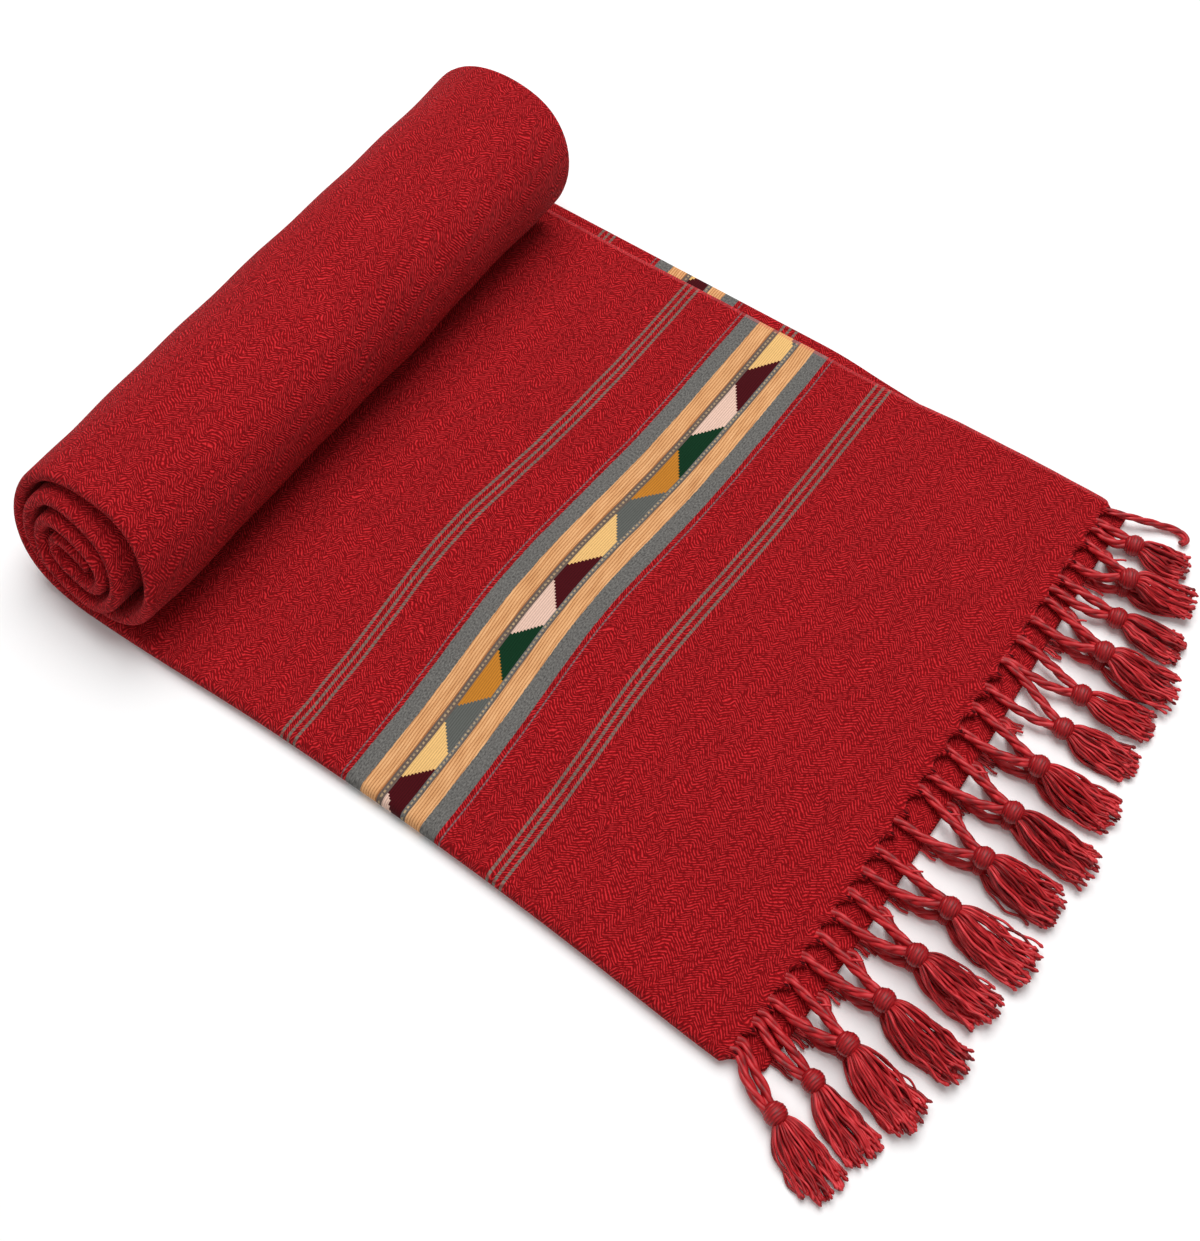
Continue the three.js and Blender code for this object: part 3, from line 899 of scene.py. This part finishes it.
# A bead of wound thread: a ball along the tassel's heading whose radius carries a fine
# ridge for each winding, with a groove near the cords
def woundBead(centre, ahead, radius):
    around, rings = 24, 50
    polar = np.linspace(0.12, math.pi - 0.12, rings)[:, None]
    angle = (np.arange(around) * (2 * math.pi / around) - math.pi / 2)[None]
    groove = np.exp(-(((polar - 1.0) / 0.13) ** 2))
    ridge = 1 + 0.022 * np.cos(polar * 22 + angle) - 0.07 * groove
    aside = np.cross(ahead, (0.0, 0.0, 1.0))
    above = np.cross(aside, ahead)
    ball = radius * np.sin(polar) ** 0.85 * ridge
    points = (
        centre
        - (radius * 0.96 * np.cos(polar) * np.ones_like(angle))[..., None] * ahead
        + (ball * np.cos(angle))[..., None] * aside
        + (ball * np.sin(angle))[..., None] * above
    )
    values = np.stack(np.broadcast_arrays(angle * radius, polar * 1.75, 0.24), -1)
    cap = np.arange(around)[None]
    faces = [ringFaces(rings, around), np.concatenate([cap[:, ::-1], cap + (rings - 1) * around])]
    return points.reshape(-1, 3), faces, values.reshape(-1, 3)


# A skirt of threads: each starts somewhere round an oval that opens steadily behind the
# bead, turns slowly about its middle, sinks toward the table and waves like unpicked
# yarn, with a small knob at its tip
def skirt(centre, ahead, form, seed):
    draw = np.random.default_rng(seed)
    count = form["threads"]

    def drawn(low, high):
        return draw.uniform(low, high, count)[:, None]

    t = np.concatenate([np.linspace(0, 0.93, 29), [0.948, 0.962, 0.976, 0.99, 1.0]])[None]
    turn = drawn(0, 2 * math.pi) + drawn(-0.4, 0.4) * t
    outness = np.sqrt(drawn(0.12, 1.0))
    reach = form["reach"] * drawn(0.82, 1.0) * (1 - 0.08 * (outness * np.cos(turn)) ** 2)
    start = form["bead"] * 0.55
    alongWay = start + (reach - start) * t
    halfWidth = form["neck"] + (form["spread"] - form["neck"]) * (1 - (1 - t) ** 4.4)
    halfDepth = form["bulge"] * smoothStep(t, -0.12, 0.2) * (1 - 0.6 * smoothStep(t, 0.35, 1.0))
    level = centre[2] + (form["tipLevel"] - centre[2]) * smoothStep(t, -0.1, 0.75)
    growing = smoothStep(t, 0.1, 0.7)
    wave, phase = drawn(7.0, 13.0), drawn(0, 6.3)
    side = halfWidth * outness * np.cos(turn) + drawn(-0.7, 0.7) * t ** 2 + 0.6 * smoothStep(t, 0, 0.3)
    side = side + drawn(0.12, 0.5) * np.sin(2 * math.pi * alongWay / wave + phase) * growing
    z = level + halfDepth * outness * np.sin(turn)
    z = z + drawn(0.1, 0.35) * np.cos(2 * math.pi * alongWay / (wave * 0.9) + phase) * growing
    z = np.maximum(z, form["floor"] + drawn(0, 0.9))
    aside = np.cross(ahead, (0.0, 0.0, 1.0))
    paths = centre * np.array([1.0, 1.0, 0.0]) + alongWay[..., None] * ahead + side[..., None] * aside
    paths[..., 2] = z
    knob = 1 + 0.4 * smoothStep(t, 0.93, 0.965) - 0.95 * smoothStep(t, 0.978, 1.0)
    return tubes(paths, form["thread"] * knob * drawn(0.85, 1.12), 5, draw.uniform(0, 1, count))


# Parts in one mesh: each part's corner numbers start after the points before it
def joined(parts):
    points, values, groups, start = [], [], {}, 0
    for partPoints, faceSets, partValues in parts:
        points.append(partPoints)
        values.append(partValues)
        for faces in faceSets:
            groups.setdefault(faces.shape[1], []).append(faces + start)
        start += len(partPoints)
    faceSets = [np.concatenate(group) for group in groups.values()]
    return np.concatenate(points), faceSets, np.concatenate(values)


fringe = {
    "bead": 2.85,
    "underBead": 2.0,
    "underShift": (0.0, -0.9),
    "underRootShifts": (0.4, 1.0),
    "lowerBow": -1.1,
    "thread": 0.35,
    "widening": 0.6,  # of a skirt at its tips, over the width in the table
    "lengthening": 1.9,
    "bedLevel": 3.1,
    "stackedLevel": 6.85,
    "cordLevel": 3.6,
    "underCordLevel": 1.45,
    "underBeadLevel": 2.3,
    "floor": 0.42,
    "stubThread": 0.34,
    "stubSpacing": 0.6,
    "stubReach": (3.6, 6.0),
    "stubStart": 0.6,  # way back into the lower hem
    "stubLevel": 1.15,
    # roots, bead x and y, heading in degrees, reach, spread, lying on another tassel
    "tassels": [
        (-0.25, 0.1, 13.5, -4.7, -20, 19.6, 5.0, False),
        (1, 1.4, 16.5, 6.2, -17, 19.3, 4.5, False),
        (2, 3, 18.6, 16.7, -12, 21.4, 5.0, True),
        (4, 5, 20.1, 29.9, -6, 22.1, 5.2, True),
        (6, 7, 20.8, 43.2, -1, 20.6, 5.2, True),
        (8, 9, 21.4, 57.3, 0, 22.2, 5.2, True),
        (10.4, 12, 21.8, 72.6, 1, 20.0, 5.2, True),
        (12.7, 14, 21.8, 86.7, 0, 22.0, 5.2, True),
        (15.0, 16.2, 21.1, 100.9, 2, 20.8, 5.0, True),
        (17.2, 18.6, 21.0, 115.2, 4, 18.7, 4.8, False),
        (18.7, 19.8, 20.4, 126.0, 8, 18.1, 4.8, False),
        (20.9, 22, 19.5, 138.0, 7, 19.7, 5.0, True),
        (22.6, 23.2, 17.6, 151.0, 6, 16.9, 4.4, False),
        (24.1, 25.3, 14.9, 160.8, 20, 16.8, 4.4, True),
        (26.1, 26.5, 11.2, 173.2, 9, 13.8, 4.4, False),
    ],
    # place along the hem and number of pairs of loose threads
    "stubs": [
        (5.4, 2), (13.6, 3), (26.9, 3), (40.2, 3), (54.3, 3), (69.6, 3),
        (83.7, 3), (97.9, 3), (109.6, 2), (134.9, 3), (157.3, 2),
    ],
    "endCord": [
        (-0.8, 178.6, 3.6), (2.0, 179.0, 3.6), (6.8, 180.5, 3.6), (12.0, 182.9, 2.3),
        (16.5, 184.6, 1.5), (19.6, 185.0, 1.35), (21.6, 183.6, 1.4), (20.9, 181.9, 1.6),
    ],
}


# A cord runs straight from its root to its side of the bead, and the lower one bows
def hemCord(hemX, y, level, centre, beadRadius, isUpper, seed):
    start = hemX - 0.8
    length, rise = centre[0] - start, centre[2] - level
    end = centre[1] + (0.7 if isUpper else -0.7)
    bow = 0.0 if isUpper else fringe["lowerBow"]
    stops = [
        (start, y, level),
        (hemX + 1.5, y, level),
        (start + 0.4 * length, y + 0.35 * (end - y) + bow, level + 0.25 * max(rise, 0.0)),
        (start + 0.68 * length, y + 0.68 * (end - y) + bow, level + 0.6 * rise),
        (centre[0] - beadRadius * 0.6, end, centre[2]),
    ]
    return twistedCord(stops, seed)


# The level way of a heading in degrees: its cosine along x and its sine along y
def levelWay(heading):
    angle = math.radians(heading)
    return np.array([math.cos(angle), math.sin(angle), 0.0])


# Bead, skirt and two cords. A tassel that lies on another has its bead at a higher level
# and a stray thread beside its second cord.
def makeTassel(number, row):
    firstRoot, secondRoot, x, y, heading, reach, spread, stacked = row
    ahead = levelWay(heading)
    centre = np.array([x, y, fringe["stackedLevel"] if stacked else fringe["bedLevel"]])
    form = {
        "threads": 60, "reach": reach + fringe["lengthening"], "spread": spread + fringe["widening"],
        "bead": fringe["bead"], "neck": 1.6, "thread": fringe["thread"], "floor": fringe["floor"],
        "tipLevel": 2.7 if stacked else 1.5, "bulge": 3.7 if stacked else 2.7,
    }
    parts = [woundBead(centre, ahead, fringe["bead"]), skirt(centre, ahead, form, 100 + number)]
    for k, root in enumerate((firstRoot, secondRoot)):
        rootY = rootPlace(root)
        hemX = float(hemSetBack(rootY))
        parts.append(hemCord(hemX, rootY, fringe["cordLevel"], centre, fringe["bead"], k == 1, number + k))
    if stacked:
        start = np.array([hemX + 9.0, rootY - 0.45 * (rootY - y) + 0.8, fringe["cordLevel"] + 1.4])
        parts.append(strayThread(start, unit(np.array([0.85, 0.5, 0.1]))))
    name = f"tassel{number:02d}"
    return addPiece(name, joined(parts), yarnFinish, [f"tassel_{number:02d}"])


# The tassel of the lower layer that another lies on: the same parts, smaller and lower,
# at the upper one's place plus a shift
def makeUnderTassel(number, row):
    firstRoot, secondRoot, x, y, heading, reach, _, _ = row
    ahead = levelWay(heading)
    shiftX, shiftY = fringe["underShift"]
    centre = np.array([x + shiftX, y + shiftY, fringe["underBeadLevel"]])
    form = {
        "threads": 22, "reach": reach, "spread": 4.6, "bead": fringe["underBead"], "neck": 1.4,
        "thread": fringe["thread"], "floor": fringe["floor"], "tipLevel": 1.0, "bulge": 1.1,
    }
    parts = [woundBead(centre, ahead, fringe["underBead"]), skirt(centre, ahead, form, 300 + number)]
    for k, (root, shift) in enumerate(zip((firstRoot, secondRoot), fringe["underRootShifts"])):
        rootY = rootPlace(root) + shift
        hemX = float(underHem(rootY) + hemSetBack(rootY))
        level, bead = fringe["underCordLevel"], fringe["underBead"]
        parts.append(hemCord(hemX, rootY, level, centre, bead, k == 1, number + k))
    name = f"underTassel{number:02d}"
    return addPiece(name, joined(parts), yarnFinish, [f"under_tassel_{number:02d}"])


# Loose threads at the lower hem: side by side in even steps, with a wave that grows
# along each one
def makeStub(number, row):
    y, pairs = row
    count = pairs * 2
    draw = np.random.default_rng(500 + number)
    hemX = float(underHem(y) + hemSetBack(y))
    t = np.linspace(0, 1, 14)[None]
    side = ((np.arange(count) - pairs + 0.5) * fringe["stubSpacing"])[:, None]
    reach = draw.uniform(*fringe["stubReach"], count)[:, None]
    phase = draw.uniform(0, 6.3, count)[:, None]
    back = fringe["stubStart"]
    paths = np.stack(np.broadcast_arrays(
        hemX - back + (reach + back) * t,
        y + side * (1 + 0.25 * t) + 0.3 * t * np.sin(t * 7 + phase),
        fringe["stubLevel"] + 0.35 * t * np.sin(t * 5 + phase),
    ), -1)
    made = tubes(paths, np.full(paths.shape[:2], fringe["stubThread"]), 5, draw.uniform(0, 1, count))
    name = f"threadStub{number:02d}"
    return addPiece(name, made, yarnFinish, [f"thread_stub_{number:02d}"])


for number, row in enumerate(fringe["tassels"], 1):
    makeTassel(number, row)
    if row[-1]:
        makeUnderTassel(number, row)
for number, row in enumerate(fringe["stubs"], 1):
    makeStub(number, row)
endCord = twistedCord(fringe["endCord"], 1.0, 0.82)
addPiece("endCord", endCord, yarnFinish, ["end_cord"])


# Studio: a pale floor, a bright room and two soft lamps

studio = {
    "floor": (252, 252, 252),
    "floorHalf": 4.0,
    "room": 0.21,
    # name, place, size and power
    "lamps": [
        ("keyLamp", (-0.2, 0.45, 1.2), 1.2, 18.0),
        ("fillLamp", (0.5, -0.7, 1.2), 1.2, 3.4),
    ],
}


# One square round the origin, level with the table
def makeFloor():
    mesh = bpy.data.meshes.new("floor")
    half = studio["floorHalf"]
    corners = [(-half, -half, 0), (half, -half, 0), (half, half, 0), (-half, half, 0)]
    mesh.from_pydata(corners, [], [(0, 1, 2, 3)])
    finish = Finish("paleFloor")
    finish.set(Base_Color=dye(studio["floor"]), Roughness=0.9, Specular_IOR_Level=0.1)
    mesh.materials.append(finish.material)
    floor = bpy.data.objects.new("floor", mesh)
    scene.collection.objects.link(floor)


# A round lamp of soft light that looks at the middle of the table
def addLamp(name, place, size, power):
    data = bpy.data.lights.new(name, "AREA")
    data.shape = "DISK"
    data.size = size
    data.energy = power
    lamp = bpy.data.objects.new(name, data)
    scene.collection.objects.link(lamp)
    lamp.location = place
    lamp.rotation_mode = "QUATERNION"
    lamp.rotation_quaternion = Vector(place).to_track_quat("Z", "Y")


makeFloor()
room = bpy.data.worlds.new("studioRoom")
room.use_nodes = True
room.node_tree.nodes["Background"].inputs["Color"].default_value = (1.0, 1.0, 1.0, 1.0)
room.node_tree.nodes["Background"].inputs["Strength"].default_value = studio["room"]
scene.world = room
for lamp in studio["lamps"]:
    addLamp(*lamp)
print("studio lit")
